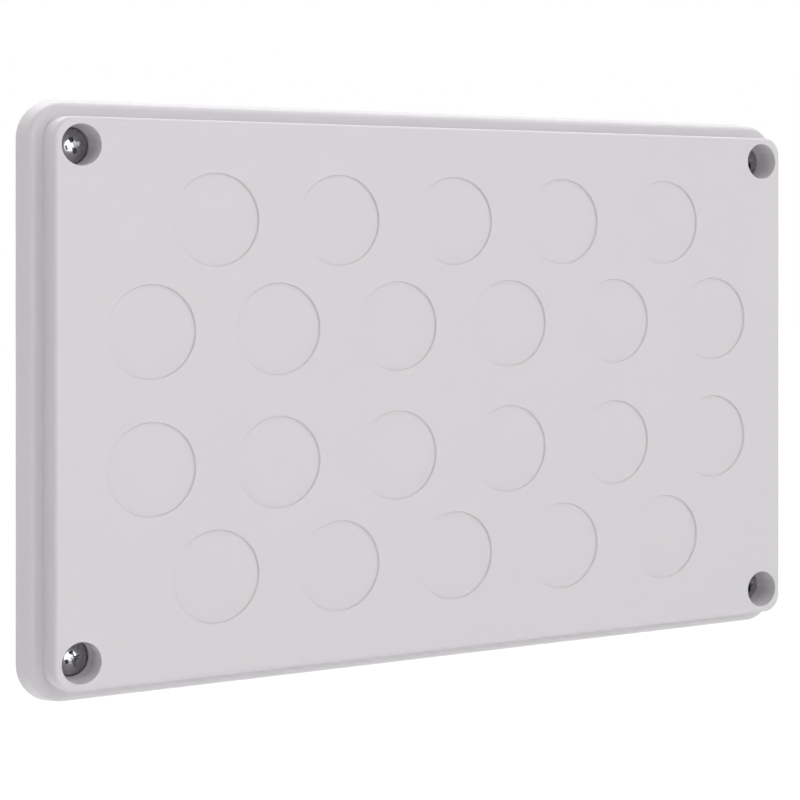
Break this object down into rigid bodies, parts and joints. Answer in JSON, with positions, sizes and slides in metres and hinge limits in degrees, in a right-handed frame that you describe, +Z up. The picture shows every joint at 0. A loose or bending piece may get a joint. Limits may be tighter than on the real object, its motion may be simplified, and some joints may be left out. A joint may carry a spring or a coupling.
{
  "type": "cable entry plate",
  "caption": "Moulded cable entry plate with staggered rows of round knock-out entries, a raised front on a wider base rim, a rear seal and sunk captive corner screws.",
  "frame": {"origin": "centre of the rear mounting plane, midway between the four screws", "axes": "+X along the plate's width, +Z up, the front faces -Y and the screws stand out of the rear along +Y"},
  "size_m": [0.21, 0.0244, 0.1336],
  "materials": {
    "plate_plastic": "light grey, finely textured satin moulding",
    "seal_rubber": "matt black soft rubber",
    "screw_steel": "plain rolled stainless steel"
  },
  "bodies": {
    "root": {"entry_plate": "plate_plastic", "rear_seal": "seal_rubber", "fixing_screws": "screw_steel"}
  },
  "joints": []
}
